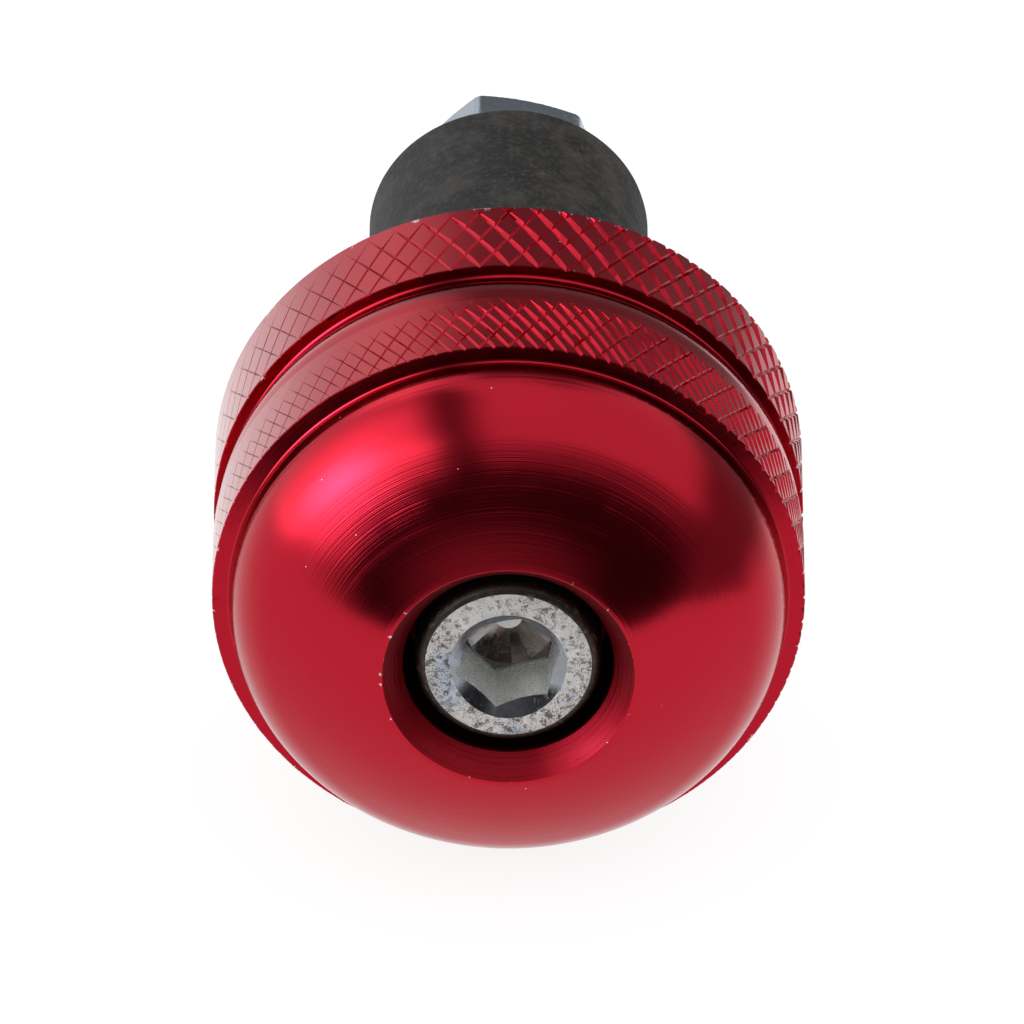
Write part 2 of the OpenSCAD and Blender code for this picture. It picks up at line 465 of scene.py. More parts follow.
# The side faces get painted shade: dark red towards their tops.
parted_red = anodised("red_parted_top_shade", RED, 0.3, 0.01, 8.0, shade_top_tint=PAINTED_SHADE_RED)
# The bore is painted dark red: painted shade.
hole_shade_red = anodised("red_hole_painted_shade", PAINTED_SHADE_RED, 0.35, 0.01, 8.0)
reds = [turned_red, knurl_red, bored_red, parted_red, hole_shade_red]
TURNED, KNURLED, BORED, PARTED, IN_HOLE = range(len(reds))
print("anodised finishes:", [red.name for red in reds])

# %% [markdown]
# ## Zinc and rubber
#
# The screw and the nut are plated with zinc, which is pale, a little blue and soon
# pitted. The rubber is nearly black, dull and dusty.

# %% Zinc plate
ZINC = (0.66, 0.65, 0.62, 1)
ZINC_BLUE = (0.44, 0.50, 0.60, 1)
# A paler greenish zinc for the socket's walls: partly their own tone, partly painted light
# that lifts them in the recess.
ZINC_GREEN = (0.76, 0.79, 0.76, 1)
ZINC_BROWN = (0.23, 0.19, 0.17, 1)
# A dark grey for the socket's lead-in: painted shade for the dark that it mirrors.
LEAD_IN_SHADE_GREY = (0.26, 0.27, 0.30, 1)
NUT_BLUE = (0.36, 0.42, 0.48, 1)
# A near white for the socket's floor: a painted highlight.
PAINTED_HIGHLIGHT_WHITE = (0.95, 0.94, 0.92, 1)
# A near black for the head's rounded side down in the counterbore: painted shade.
PAINTED_SHADE_ZINC = (0.05, 0.045, 0.04, 1)
PIT = (0.16, 0.15, 0.14, 1)
RUST = (0.22, 0.10, 0.055, 1)


def scratches(tree, position, angle, stretch, share):
    """Fine straight marks: noise that is turned and squeezed in one direction."""
    placed = {0: position, "Rotation": (0, math.radians(angle), 0), "Scale": stretch}
    squeezed = tree.node("ShaderNodeMapping", None, placed)
    return mottle(tree, squeezed, 1.0, 3.0).ramp(1 - share, 1.05 - share)


def zinc_plate(name, tint, roughness, pitted, rusty, blued, relief=0.02, dull=0.0):
    """Zinc with bluish clouds, dark pits, scratches and a little rust."""
    material, tree = new_tree(name)
    position = position_mm(tree)
    cloud = mottle(tree, position, 0.5)
    grain = mottle(tree, position, 9.0, 3.0)
    rough_part = mottle(tree, position, 0.8, 2.0).ramp(0.35, 0.65)
    pits = mottle(tree, position, 3.0, 6.0).ramp(0.54, 0.66) * (0.35 + rough_part * 0.65)
    marks = scratches(tree, position, 35, (0.6, 1.0, 3.0), 0.34)
    marks = marks.maths("MAXIMUM", scratches(tree, position, -62, (0.5, 1.0, 3.5), 0.34))
    soil = (pits + marks * 0.5 + grain.ramp(0.5, 0.72) * rough_part * 0.7) * pitted
    soil = soil.maths("MINIMUM", 1)
    stain = mottle(tree, position, 1.4, 3.0).ramp(0.5, 0.7)
    colour = mix_colour(tree, cloud.ramp(0.5, 0.66) * blued, tint, ZINC_BLUE)
    colour = mix_colour(tree, stain * rusty, colour, RUST)
    colour = mix_colour(tree, soil, colour, PIT)
    values = {
        "Base Color": colour,
        "Metallic": (1.0 - soil * 0.3) * (1.0 - dull),
        "Roughness": roughness + grain * 0.1 + soil * 0.25,
    }
    finish(tree, values, grain * 0.3 + cloud - soil * 0.6, relief)
    return material


face_zinc = zinc_plate("zinc_face", ZINC, 0.3, 1.0, rusty=0.15, blued=0.8, relief=0.2)
# The socket's walls are paler than the head's zinc, partly as painted light.
wall_zinc = zinc_plate("zinc_socket", ZINC_GREEN, 0.22, 0.4, rusty=0.1, blued=0.5, dull=0.5)
# The lead-in's zinc is darkened as painted shade.
lead_in_shade_zinc = zinc_plate("zinc_lead_in_shade", LEAD_IN_SHADE_GREY, 0.12, 0.3, rusty=0.1, blued=0.3)
drilled_zinc = zinc_plate("zinc_drilled", ZINC_BROWN, 0.12, 0.2, rusty=0.6, blued=0.0)
# Painted shade for the head's rounded side.
shaded_zinc = zinc_plate("zinc_painted_shade", PAINTED_SHADE_ZINC, 0.4, 0.5, rusty=0.2, blued=0.0)
# The socket's floor gets a painted highlight: near white and dull.
disc_highlight_zinc = zinc_plate("zinc_disc_highlight", PAINTED_HIGHLIGHT_WHITE, 0.4, 0.2, rusty=0.0, blued=0.0, dull=0.9)
nut_zinc = zinc_plate("zinc_nut", NUT_BLUE, 0.16, 0.4, rusty=0.05, blued=0.5)
screw_zincs = [face_zinc, wall_zinc, lead_in_shade_zinc, drilled_zinc, shaded_zinc, disc_highlight_zinc]
FACE, WALL, LEAD_IN, DRILLED, SHADED_ROUND, DISC_HIGHLIGHT = range(len(screw_zincs))
print("zinc finishes:", [zinc.name for zinc in (*screw_zincs, nut_zinc)])


# %% Black rubber
RUBBER = (0.0100, 0.0091, 0.0082, 1)
RUBBER_GREY = (0.066, 0.060, 0.056, 1)
RUBBER_GRAIN_MM = 0.06


def black_rubber():
    """Dull rubber with a grey bloom, mould flow and dust."""
    material, tree = new_tree("rubber_black")
    position = position_mm(tree)
    bloom = mottle(tree, position, 0.45, 6.0)
    grain = mottle(tree, position, 3.0, 6.0)
    dust = specks(tree, position, 0.9, 0.06, 0.12)
    wiped = scratches(tree, position, 40, (0.4, 0.9, 1.5), 0.42) * bloom
    dusty = (grain.ramp(0.45, 0.75) * 0.6 + wiped * 0.35).maths("MINIMUM", 1)
    colour = mix_colour(tree, bloom.ramp(0.4, 0.7) * 0.5, RUBBER, RUBBER_GREY)
    colour = mix_colour(tree, dusty, colour, RUBBER_GREY)
    colour = mix_colour(tree, dust * 0.5, colour, DUST)
    values = {
        "Base Color": colour,
        "Roughness": 0.6 + bloom * 0.25,
        "Specular IOR Level": 0.35,
    }
    finish(tree, values, grain, RUBBER_GRAIN_MM)
    return material


rubber = black_rubber()
print("rubber finish:", rubber.name)

# %% [markdown]
# ## The knurl
#
# A knurl is pressed by two wheels whose teeth slant opposite ways, so it is a lattice
# of grooves with flat diamonds between them. One pitch of it is made flat: a grid is
# sheared until its lines slant like the grooves, each cell is inset to leave its flat
# top, and the lattice lines sink to the groove's depth. The patch is then bent to the
# rim's curve and spun round it.

# %% Sizes of the knurl
KNURL_COUNT = 64
KNURL_ANGLE = math.radians(30)
KNURL_W = 0.46
KNURL_D = 0.25
BAND_CHAMFER = 0.05
ARRIS_W = 0.04
KNURL_CREASE = math.radians(7)
PATCH_MARGIN = 0.4
ARRIS_ANGLE = 0.3
HALF_RIM = math.pi * BAND_R
PITCH_L = 2 * HALF_RIM / KNURL_COUNT
ROW_SLOPE = HALF_RIM / math.tan(KNURL_ANGLE)
LINE_GAP = PITCH_L * math.cos(KNURL_ANGLE)
print("one pitch of the knurl is", round(PITCH_L, 3), "mm along the rim")


# %% From the rim to the lattice and back
def to_lattice(x, y, ratio):
    """Numbers of the two families' lines at a place on the unrolled rim."""
    across, along = x / HALF_RIM, y / ROW_SLOPE
    return (across - along) / 2 * KNURL_COUNT, (across + along) / 2 * KNURL_COUNT * ratio


def from_lattice(i, j, ratio):
    """Place on the unrolled rim where two lines of the lattice cross."""
    a, b = i / KNURL_COUNT, j / KNURL_COUNT / ratio
    return HALF_RIM * (a + b), ROW_SLOPE * (b - a)


def lattice_range(ratio, width):
    """First and last lines that a patch of one pitch and this width needs, with a margin."""
    ends = (-PATCH_MARGIN, width + PATCH_MARGIN)
    corners = [to_lattice(x, y, ratio) for x in (0, PITCH_L) for y in ends]
    first = [math.floor(min(lines)) - 1 for lines in zip(*corners)]
    last = [math.ceil(max(lines)) + 1 for lines in zip(*corners)]
    return first, last


# %% One flat pitch of the knurl
def whole(bm):
    """All the geometry of a mesh, as the operators take it."""
    return bm.verts[:] + bm.edges[:] + bm.faces[:]


def cut_off(bm, point, outward):
    """Cuts the mesh by a plane and drops what lies outside it."""
    bmesh.ops.bisect_plane(
        bm, geom=whole(bm), plane_co=point, plane_no=outward, clear_outer=True, dist=1e-6
    )


def flat_lattice(ratio, width):
    """A sheared grid whose cells are the diamonds between the grooves."""
    first, last = lattice_range(ratio, width)
    cells = last[0] - first[0], last[1] - first[1]
    step_i, step_j = from_lattice(1, 0, ratio), from_lattice(0, 1, ratio)
    shear = Matrix.Identity(4)
    shear.col[0].xy, shear.col[1].xy = step_i, step_j
    bm = bmesh.new()
    bmesh.ops.create_grid(bm, x_segments=cells[0], y_segments=cells[1], size=0.5)
    bmesh.ops.translate(bm, vec=(0.5, 0.5, 0), verts=bm.verts)
    bmesh.ops.scale(bm, vec=(*cells, 1), verts=bm.verts)
    bmesh.ops.translate(bm, vec=(*first, 0), verts=bm.verts)
    bmesh.ops.transform(bm, matrix=shear, verts=bm.verts)
    return bm


def round_arrises(bm):
    """Bevels the edges between the flat tops and the grooves' slopes."""
    arrises = [
        edge
        for edge in bm.edges
        if len(edge.link_faces) == 2
        and all(abs(vert.co.z) < 1e-6 for vert in edge.verts)
        and edge.calc_face_angle(0) > ARRIS_ANGLE
    ]
    rounding = {"segments": 2, "profile": 0.5, "affect": "EDGES", "material": -1}
    bmesh.ops.bevel(bm, geom=arrises, offset=ARRIS_W, **rounding)


def knurl_patch(ratio, width):
    """One pitch, x along the rim and y along the axis, with its grooves below z = 0."""
    bm = flat_lattice(ratio, width)
    crossings = bm.verts[:]
    half_w = KNURL_W / 2
    bmesh.ops.inset_individual(bm, faces=bm.faces[:], thickness=half_w, use_even_offset=True)
    for vert in crossings:
        vert.co.z = -KNURL_D
    round_arrises(bm)
    cut_off(bm, (0, 0, 0), (-1, 0, 0))
    cut_off(bm, (PITCH_L, 0, 0), (1, 0, 0))
    cut_off(bm, (0, -PATCH_MARGIN, 0), (0, -1, 0))
    cut_off(bm, (0, width + PATCH_MARGIN, 0), (0, 1, 0))
    bmesh.ops.triangulate(bm, faces=[face for face in bm.faces if len(face.verts) > 4])
    bmesh.ops.subdivide_edges(bm, edges=bm.edges[:], cuts=1, use_grid_fill=True)
    return bm


# %% [markdown]
# ## A knurl that was pressed unevenly
#
# The wheels bit deep at the top and the right of this piece, and hardly at all on the
# left, where the grooves are hairlines on an almost plain rim. So each groove keeps only
# a share of its width and depth, which depends on where it is, and a little chance.
# Along its rear edge a band stays smooth for some way.

# %% How deep the wheels bit
FULL_SHARE = 1.1
LEAST_SHARE = 0.03
LIGHT_LOSS = 0.84
CHANCE = 0.22
BARE_BLEND = 0.6
FULL_BITE_L = 0.8


def light_side(turn):
    """1 on the left and below, where the wheels hardly bit, and 0 at the top and the right."""
    return max(smooth(18, -42, turn), smooth(88, 140, turn))


def heavy_side(turn):
    """1 on the right, where one wheel's grooves open wide at their upper ends."""
    return smooth(22, 62, turn) * smooth(175, 125, turn)


def wedge(turn, y, part):
    """Widening of a groove along its way from one crossing line to the next, 0 to 1."""
    heavy = heavy_side(turn)
    lean = (2 * smooth(0.8, 3.2, y) - 1) * (1 - heavy) - 2.4 * heavy
    return 0.9 + 0.4 * heavy + 0.6 * lean * (part - 0.5)


def bite(turn, to_rear, bare_left, bare_right):
    """Share of its full width that a groove has at a place on a band."""
    light = light_side(turn)
    share = FULL_SHARE - LIGHT_LOSS * light
    bare = bare_right + (bare_left - bare_right) * light
    place = Vector((turn * 0.11, to_rear * 0.8, bare_left))
    chance = 1 + CHANCE * noise.noise(place)
    begun = smooth(bare - BARE_BLEND, bare + BARE_BLEND, to_rear)
    return max(LEAST_SHARE, share * chance * begun)


def narrowed(place, mouth, share):
    """Moves a place between two grooves so that these keep only a share of their width."""
    line = math.floor(place)
    off = place - line
    side = min(off, 1 - off)
    if side < mouth:
        moved = side * share
    else:
        moved = mouth * share + (side - mouth) * (0.5 - mouth * share) / (0.5 - mouth)
    return line + (moved if off < 0.5 else 1 - moved)


# %% Bending the patch to the rim
def on_rim(x, y, z):
    """Place on the rolled-up rim of a point of the flat one."""
    turn, radius = x / BAND_R, BAND_R + z
    return radius * math.sin(turn), y, radius * math.cos(turn)


def bend_to_rim(bm, start_y):
    """Rolls the flat patch round the axis, its top skin on the rim."""
    for vert in bm.verts:
        vert.co = on_rim(vert.co.x, start_y + vert.co.y, vert.co.z)


def press_knurl(bm, ratio, start_y, width, bare):
    """Gives each vertex of the spun knurl the groove's width and depth at its place."""
    mouth_i = KNURL_W / 2 / LINE_GAP
    mouth_j = mouth_i * ratio
    for vert in bm.verts:
        turn = ring_turn(vert.co)
        y = vert.co.y - start_y
        at_front = 0.65 + 0.35 * smooth(0, FULL_BITE_L, y)
        share = bite(turn, width - y, *bare) / ratio**0.35 * at_front
        sink = BAND_R - ring_radius(vert.co)
        i, j = to_lattice(math.radians(turn) * BAND_R, y, ratio)
        share_i = min(share, 0.28 + 0.26 * share)
        share_j = min(share * wedge(turn, y, i - math.floor(i)), 0.43 / mouth_j)
        near_i = abs(i - round(i)) / mouth_i
        near_j = abs(j - round(j)) / mouth_j
        deep = share_i if near_i < near_j else share_j
        place_i = narrowed(i, mouth_i, share_i)
        x, y = from_lattice(place_i, narrowed(j, mouth_j, share_j), ratio)
        vert.co = on_rim(x, start_y + y, -sink * min(1.0, deep))


def knurled_rim(ratio, start_y, width, bare):
    """A ring of knurl, cut off flat at the band's two edges."""
    bm = knurl_patch(ratio, width)
    bend_to_rim(bm, start_y)
    spin_round(bm, whole(bm), KNURL_COUNT, use_duplicate=True, use_merge=False)
    bmesh.ops.remove_doubles(bm, verts=bm.verts, dist=MERGE_MM)
    press_knurl(bm, ratio, start_y, width, bare)
    cut_off(bm, (0, start_y, 0), (0, -1, 0))
    cut_off(bm, (0, start_y + width, 0), (0, 1, 0))
    print("knurl of ratio", ratio, "has", len(bm.faces), "faces")
    return bm


# %% The bands' edges
def ease_edge(bm, edge_y, inward, depth):
    """Lowers the rim's last part towards an edge, so that it isn't knife-sharp."""
    begin = (0, edge_y + inward * depth, 0)
    bmesh.ops.bisect_plane(bm, geom=whole(bm), plane_co=begin, plane_no=AXIS, dist=1e-6)
    for vert in bm.verts:
        limit = BAND_R - depth + (vert.co.y - edge_y) * inward
        if ring_radius(vert.co) > limit:
            set_radius(vert, limit)


# %% [markdown]
# ## The turned weight
#
# The weight is one piece of metal. Its plain surfaces are two profiles: one runs from
# the shoulder over the dome, into the mouth, down the bore and out over the rear face,
# and the other makes the smooth strip and the groove between the bands. The two
# knurled rims close the gaps between them, each joined by a flat ring on the band's
# side face. `bridge_loops` makes those rings, as it can join loops of different counts.

# %% Profiles of the plain surfaces
TURN_STEPS = 384
JOINT_R = BAND_R - 0.4
STRIP_Y = FRONT_KNURL_END + 0.05


def dome_profile():
    """From the front band's side face over the dome and through the bore to the rear."""
    crown_y = MOUTH_Y + math.sqrt(CROWN_R**2 - MOUTH_R**2)
    flank_c = DOME_R - FLANK_R
    flank_y = crown_y - math.sqrt((CROWN_R - FLANK_R) ** 2 - flank_c**2)
    join = math.atan2(flank_c, crown_y - flank_y)
    rim = math.asin(MOUTH_R / CROWN_R)
    chamfer_w = MOUTH_R - COUNTERBORE_R
    return [
        (JOINT_R - 0.1, SHOULDER_Y),
        *reversed(inner_fillet(DOME_R, SHOULDER_Y, CORNER_FILLET)),
        *reversed(arc(flank_c, flank_y, FLANK_R, join, math.pi / 2, 28)),
        *reversed(arc(0, crown_y, CROWN_R, rim + 0.003, join, 22)),
        (MOUTH_R - 0.03, MOUTH_Y + 0.015),
        (MOUTH_R - chamfer_w * 0.1, MOUTH_Y + MOUTH_CHAMFER_L * 0.1),
        (COUNTERBORE_R + chamfer_w * 0.04, MOUTH_Y + MOUTH_CHAMFER_L * 0.96),
        (COUNTERBORE_R, MOUTH_Y + MOUTH_CHAMFER_L + 0.05),
        (COUNTERBORE_R, SEAT_Y - 0.2),
        (COUNTERBORE_R - 0.05, SEAT_Y),
        (BORE_R, SEAT_Y),
        (BORE_R, -0.2),
        (BORE_R + 0.2, 0),
        (JOINT_R - 0.1, 0),
    ]


def groove_profile():
    """From the smooth strip down into the groove and up the rear band's side face."""
    bottom = math.acos(1 - (PLAIN_R - GROOVE_R) / RUNOFF_R)
    runoff = arc(PLAIN_R - RUNOFF_R, RUNOFF_Y, RUNOFF_R, math.pi / 2, math.pi / 2 + bottom, 12)
    return [
        (PLAIN_R, STRIP_Y),
        *runoff,
        *inner_fillet(GROOVE_R, REAR_BAND_Y, CORNER_FILLET),
    ]


# %% Joining the knurled rims to the plain surfaces
def edge_loop(bm, y, low_r, high_r):
    """The open edges that lie at a place along the axis, between two radii."""
    return [
        edge
        for edge in bm.edges
        if edge.is_boundary
        and all(abs(vert.co.y - y) < 1e-3 for vert in edge.verts)
        and all(low_r < ring_radius(vert.co) < high_r for vert in edge.verts)
    ]


def side_face(bm, y):
    """Runs a knurled rim's open edge straight in to an even circle."""
    rim = edge_loop(bm, y, JOINT_R, BAND_R + 0.1)
    made = bmesh.ops.extrude_edge_only(bm, edges=rim)["geom"]
    for vert in made:
        if isinstance(vert, bmesh.types.BMVert):
            set_radius(vert, JOINT_R)


def add_rim(bm, rim):
    """Takes the rim's mesh over into the weight's."""
    mesh = bpy.data.meshes.new("rim")
    rim.to_mesh(mesh)
    rim.free()
    bm.from_mesh(mesh)
    bpy.data.meshes.remove(mesh)


# %% Building the weight
def front_rim():
    """The front band: fine knurl that runs out to the smooth strip behind it."""
    rim = knurled_rim(2, SHOULDER_Y, FRONT_KNURL_L, bare=(1.7, 0.35))
    ease_edge(rim, SHOULDER_Y, 1, BAND_CHAMFER)
    ease_edge(rim, FRONT_KNURL_END, -1, BAND_R - PLAIN_R)
    return rim


def rear_rim():
    """The rear band: coarse knurl over its whole width."""
    rim = knurled_rim(1, REAR_BAND_Y, REAR_BAND_L, bare=(1.6, -0.1))
    ease_edge(rim, REAR_BAND_Y, 1, BAND_CHAMFER)
    ease_edge(rim, 0, -1, BAND_CHAMFER)
    return rim


def build_weight():
    """The whole weight, with its knurl, as one closed mesh."""
    bm = bmesh.new()
    bm.verts.layers.float.new("worn")
    bm.verts.layers.float.new("painted_groove_shade")
    turn_profile(bm, dome_profile(), TURN_STEPS)
    turn_profile(bm, groove_profile(), TURN_STEPS)
    add_rim(bm, front_rim())
    add_rim(bm, rear_rim())
    for y in (SHOULDER_Y, REAR_BAND_Y, 0):
        side_face(bm, y)
        inner = edge_loop(bm, y, DOME_R, JOINT_R + 0.01)
        bmesh.ops.bridge_loops(bm, edges=inner)
    strip = edge_loop(bm, FRONT_KNURL_END, GROOVE_R, BAND_R)
    strip += edge_loop(bm, STRIP_Y, GROOVE_R, BAND_R)
    bmesh.ops.bridge_loops(bm, edges=strip)
    return bm


# %% Burrs and finishes of the weight
BURR_L = 0.06
# How dark the painted shade in the finest grooves gets.
HAIRLINE_SHADE = 0.42
FRONT_EDGES = (SHOULDER_Y, REAR_BAND_Y)


def raise_burrs(bm):
    """Roughens the bands' edges, where the wheels pushed metal over the side."""
    worn = bm.verts.layers.float["worn"]
    for vert in bm.verts:
        radius = ring_radius(vert.co)
        at_top = radius > BAND_R - 0.12
        off_front = min(abs(vert.co.y - y) for y in FRONT_EDGES)
        if off_front < BAND_CHAMFER + 0.01 and radius > BAND_R - 0.3:
            chance = noise.noise(vert.co * 1.7) + 0.6 * noise.noise(vert.co * 6)
            vert.co.y -= BURR_L * max(0.0, chance)
            vert[worn] = smooth(0.45, 0.8, chance) if at_top else 0
        elif abs(vert.co.y) < BAND_CHAMFER + 0.01 and at_top:
            vert[worn] = smooth(0.2, 0.5, noise.noise(vert.co * 0.9))
        elif abs(vert.co.y - MOUTH_Y) < 0.03 and abs(radius - MOUTH_R) < 0.06:
            vert[worn] = smooth(0.3, 0.5, noise.noise(vert.co * 3.1))


def shade_hairlines(bm):
    """Paints shade into the grooves on the left, which are too fine for any light to come out
    of.
    """
    painted_groove_shade = bm.verts.layers.float["painted_groove_shade"]
    for vert in bm.verts:
        sunk = BAND_R - ring_radius(vert.co)
        on_band = min(vert.co.y - SHOULDER_Y, FRONT_KNURL_END - vert.co.y) > BAND_CHAMFER + 0.1
        on_band |= min(vert.co.y - REAR_BAND_Y, -vert.co.y) > BAND_CHAMFER + 0.01
        if on_band and sunk < 0.3:
            dark = HAIRLINE_SHADE * light_side(ring_turn(vert.co))
            vert[painted_groove_shade] = dark * smooth(0.006, 0.03, sunk)


def paint_weight(bm):
    """Gives each face the finish of its tool: turned, knurled, bored or parted, with painted
    shade in the bore and at the tops of the side faces.
    """
    bm.normal_update()
    side_radius = DOME_R + 0.15
    for face in bm.faces:
        centre = face.calc_center_median()
        radius = ring_radius(centre)
        on_band = radius > PLAIN_R - 0.3 and (
            SHOULDER_Y < centre.y < FRONT_KNURL_END or REAR_BAND_Y < centre.y < 0
        )
        off_side = min(abs(centre.y - y) for y in FRONT_EDGES)
        on_edge = off_side < BAND_CHAMFER + 0.03 and face.normal.y < -0.5
        # The side faces, whose finish carries painted shade towards their tops.
        on_side = radius > side_radius and (on_edge or abs(face.normal.y) > 0.97)
        in_mouth = radius < MOUTH_R - 0.02 and centre.y < -0.01
        # The bore's faces get painted shade.
        in_bore = radius < COUNTERBORE_R + 0.01 and centre.y < -0.01
        tools = {IN_HOLE: in_bore, PARTED: on_side, KNURLED: on_band, BORED: in_mouth}
        face.material_index = next((tool for tool, there in tools.items() if there), TURNED)


def crease_knurl(bm):
    """Keeps the knurl's flats flat in the light: its edges shade smooth only when slight."""
    for edge in bm.edges:
        if all(face.material_index == KNURLED for face in edge.link_faces):
            edge.smooth = edge.calc_face_angle(0) < KNURL_CREASE


weight_mesh = build_weight()
raise_burrs(weight_mesh)
shade_hairlines(weight_mesh)
paint_weight(weight_mesh)
crease_knurl(weight_mesh)
finish_piece(weight_mesh, "turned_weight", "weight_body", reds, math.radians(28))

# %% [markdown]
# ## The cap screw
#
# A cap screw's head is forged: a punch leaves the hexagon socket with a lead-in round
# its mouth and a dimple at its floor. It is turned like the weight, and then the loops
# of the socket's wall are pressed out to a hexagon, as the punch does it. The thread is
# made the same way, by moving a turned shank's vertices in and out along a helix.

# %% Pressing a ring to a hexagon
HEX_STEPS = 192


def hexagon_radius(turn, half_width, hex_turn):
    """Distance from the axis to a hexagon's side in this direction, in degrees."""
    off_side = (turn - hex_turn) % 60 - 30
    return half_width / math.cos(math.radians(off_side))


# %% Sizes of the screw
HEAD_R = 5.0
HEAD_ROUND = 0.58
SOCKET_HALF = 2.5
SOCKET_TURN = 13.5
SOCKET_L = 3.7
SOCKET_RIM_R = 3.1
SOCKET_RIM_SLOPE = 0.75
LIP_DROP = 0.3
DIMPLE_R = 0.75
DIMPLE_SLOPE = math.tan(math.radians(31))
SHANK_R = 3.0
TIP_Y = box_mm("socket_screw")[1].y
TIP_CHAMFER = 0.5
THREAD_START = TIP_Y - 8.0
THREAD_PITCH = 1.0
THREAD_D = 0.54
THREAD_STEP = 0.1
WALL_LOOPS = 6
SOCKET_FLOOR_Y = HEAD_Y + SOCKET_L
SOCKET_LIP_Y = HEAD_Y + (SOCKET_RIM_R - SOCKET_HALF) * SOCKET_RIM_SLOPE


# %% Building the screw
def screw_profile():
    """From the tip along the shank and over the head into the socket."""
    dimple_y = SOCKET_FLOOR_Y + (SOCKET_HALF - DIMPLE_R) * DIMPLE_SLOPE
    thread_end = TIP_Y - TIP_CHAMFER
    threads = int((thread_end - THREAD_START) / THREAD_STEP)
    thread = [(SHANK_R, thread_end - THREAD_STEP * k) for k in range(threads + 1)]
    head_round = arc(HEAD_R - HEAD_ROUND, HEAD_Y + HEAD_ROUND, HEAD_ROUND, 0.1, math.pi / 2, 8)
    loop_l = (SOCKET_FLOOR_Y - SOCKET_LIP_Y - 0.05) / WALL_LOOPS
    wall = [(SOCKET_HALF, SOCKET_LIP_Y + loop_l * k) for k in range(WALL_LOOPS + 1)]
    return [
        (0, TIP_Y),
        (SHANK_R - 0.6, TIP_Y),
        *thread,
        (SHANK_R, SEAT_Y + 0.3),
        (SHANK_R + 0.2, SEAT_Y),
        (HEAD_R - 0.1, SEAT_Y),
        (HEAD_R, SEAT_Y - 0.1),
        *reversed(head_round),
        (SOCKET_RIM_R + 0.04, HEAD_Y),
        (SOCKET_RIM_R, HEAD_Y + 0.02),
        *wall,
        (SOCKET_HALF - 0.08, SOCKET_FLOOR_Y + 0.05),
        (SOCKET_HALF - 0.14, SOCKET_FLOOR_Y + 0.06),
        (DIMPLE_R + 0.04, dimple_y - 0.03),
        (DIMPLE_R, dimple_y),
        (0, dimple_y),
    ]


def press_socket(bm):
    """Presses the wall to the hexagon, and slides its upper edge along the lead-in."""
    for vert in bm.verts:
        inset = SOCKET_HALF - ring_radius(vert.co)
        on_wall = SOCKET_LIP_Y - 0.01 < vert.co.y < SOCKET_FLOOR_Y + 0.055
        if abs(inset) > 0.1 or not on_wall:
            continue
        side = hexagon_radius(ring_turn(vert.co), SOCKET_HALF, SOCKET_TURN)
        down = (vert.co.y - SOCKET_LIP_Y) / (SOCKET_FLOOR_Y - SOCKET_LIP_Y)
        lift = (side - SOCKET_HALF) * SOCKET_RIM_SLOPE * max(0.0, 1 - down)
        set_radius(vert, side - inset)
        vert.co.y -= lift


def cut_thread(bm):
    """Moves the shank's skin in and out along a helix, deeper towards the tip."""
    for vert in bm.verts:
        if vert.co.y < THREAD_START or ring_radius(vert.co) < SHANK_R - 0.01:
            continue
        wave = (vert.co.y / THREAD_PITCH - ring_turn(vert.co) / 360) % 1
        root = 1 - abs(2 * wave - 1)
        begun = smooth(THREAD_START, THREAD_START + THREAD_PITCH, vert.co.y)
        set_radius(vert, SHANK_R - THREAD_D * smooth(0.12, 0.9, root) * begun)


def drop_lower_lip(bm):
    """Widens the lead-in on its lower side, where the punch was a little askew."""
    for vert in bm.verts:
        radius = ring_radius(vert.co)
        if abs(radius - SOCKET_RIM_R) < 0.06 and abs(vert.co.y - HEAD_Y) < 0.05:
            low = max(0.0, -math.cos(math.radians(ring_turn(vert.co))))
            set_radius(vert, radius + LIP_DROP * low**3)


def screw_finish(face):
    """Place in the screw's list of finishes for a face."""
    centre = face.calc_center_median()
    radius, y = ring_radius(centre), centre.y
    # The head's rounded side gets painted shade.
    if radius > HEAD_R - HEAD_ROUND + 0.02 and y < SEAT_Y:
        return SHADED_ROUND
    if radius > SOCKET_RIM_R + LIP_DROP + 0.02 or y < HEAD_Y + 0.005 or y > SEAT_Y:
        return FACE
    # The dimple's flat middle and the floor's edge get a painted highlight.
    if y > SOCKET_FLOOR_Y + 0.052:
        return DISC_HIGHLIGHT if radius < DIMPLE_R else DRILLED
    if y > SOCKET_FLOOR_Y + 0.002:
        return DISC_HIGHLIGHT
    # The lead-in gets painted shade.
    return LEAD_IN if abs(face.normal.y) > 0.4 else WALL


def paint_screw(bm):
    """Each part of the screw gets the finish that its tool left, with painted shade on the
    head's rounded side and the lead-in, and a painted highlight on the socket's floor.
    """
    bm.normal_update()
    for face in bm.faces:
        face.material_index = screw_finish(face)


def build_screw():
    """The screw, with its socket, rounded head and threaded end."""
    bm = turned_mesh(screw_profile(), HEX_STEPS, SOCKET_TURN)
    press_socket(bm)
    drop_lower_lip(bm)
    cut_thread(bm)
    return bm


screw_mesh = build_screw()
paint_screw(screw_mesh)
finish_piece(screw_mesh, "cap_screw", "socket_screw", screw_zincs, math.radians(26))

# %% [markdown]
# ## The sleeve and the nut
#
# The sleeve is a plain tube of rubber with a rounded far end. Its surface is never quite
# true, so slow noise moves its skin. The nut is turned, and then its outside is pressed
# to a hexagon that is no larger than a cone allows at each end, which is just how a
# nut's corners are chamfered.

# %% Building the sleeve
SLEEVE_R = box_mm("rubber_sleeve")[1].x
SLEEVE_L = box_mm("rubber_sleeve")[1].y
SLEEVE_ROUND = 0.4
SLEEVE_STEPS = 160
SLEEVE_LOOPS = 24
UNEVENNESS = 0.06


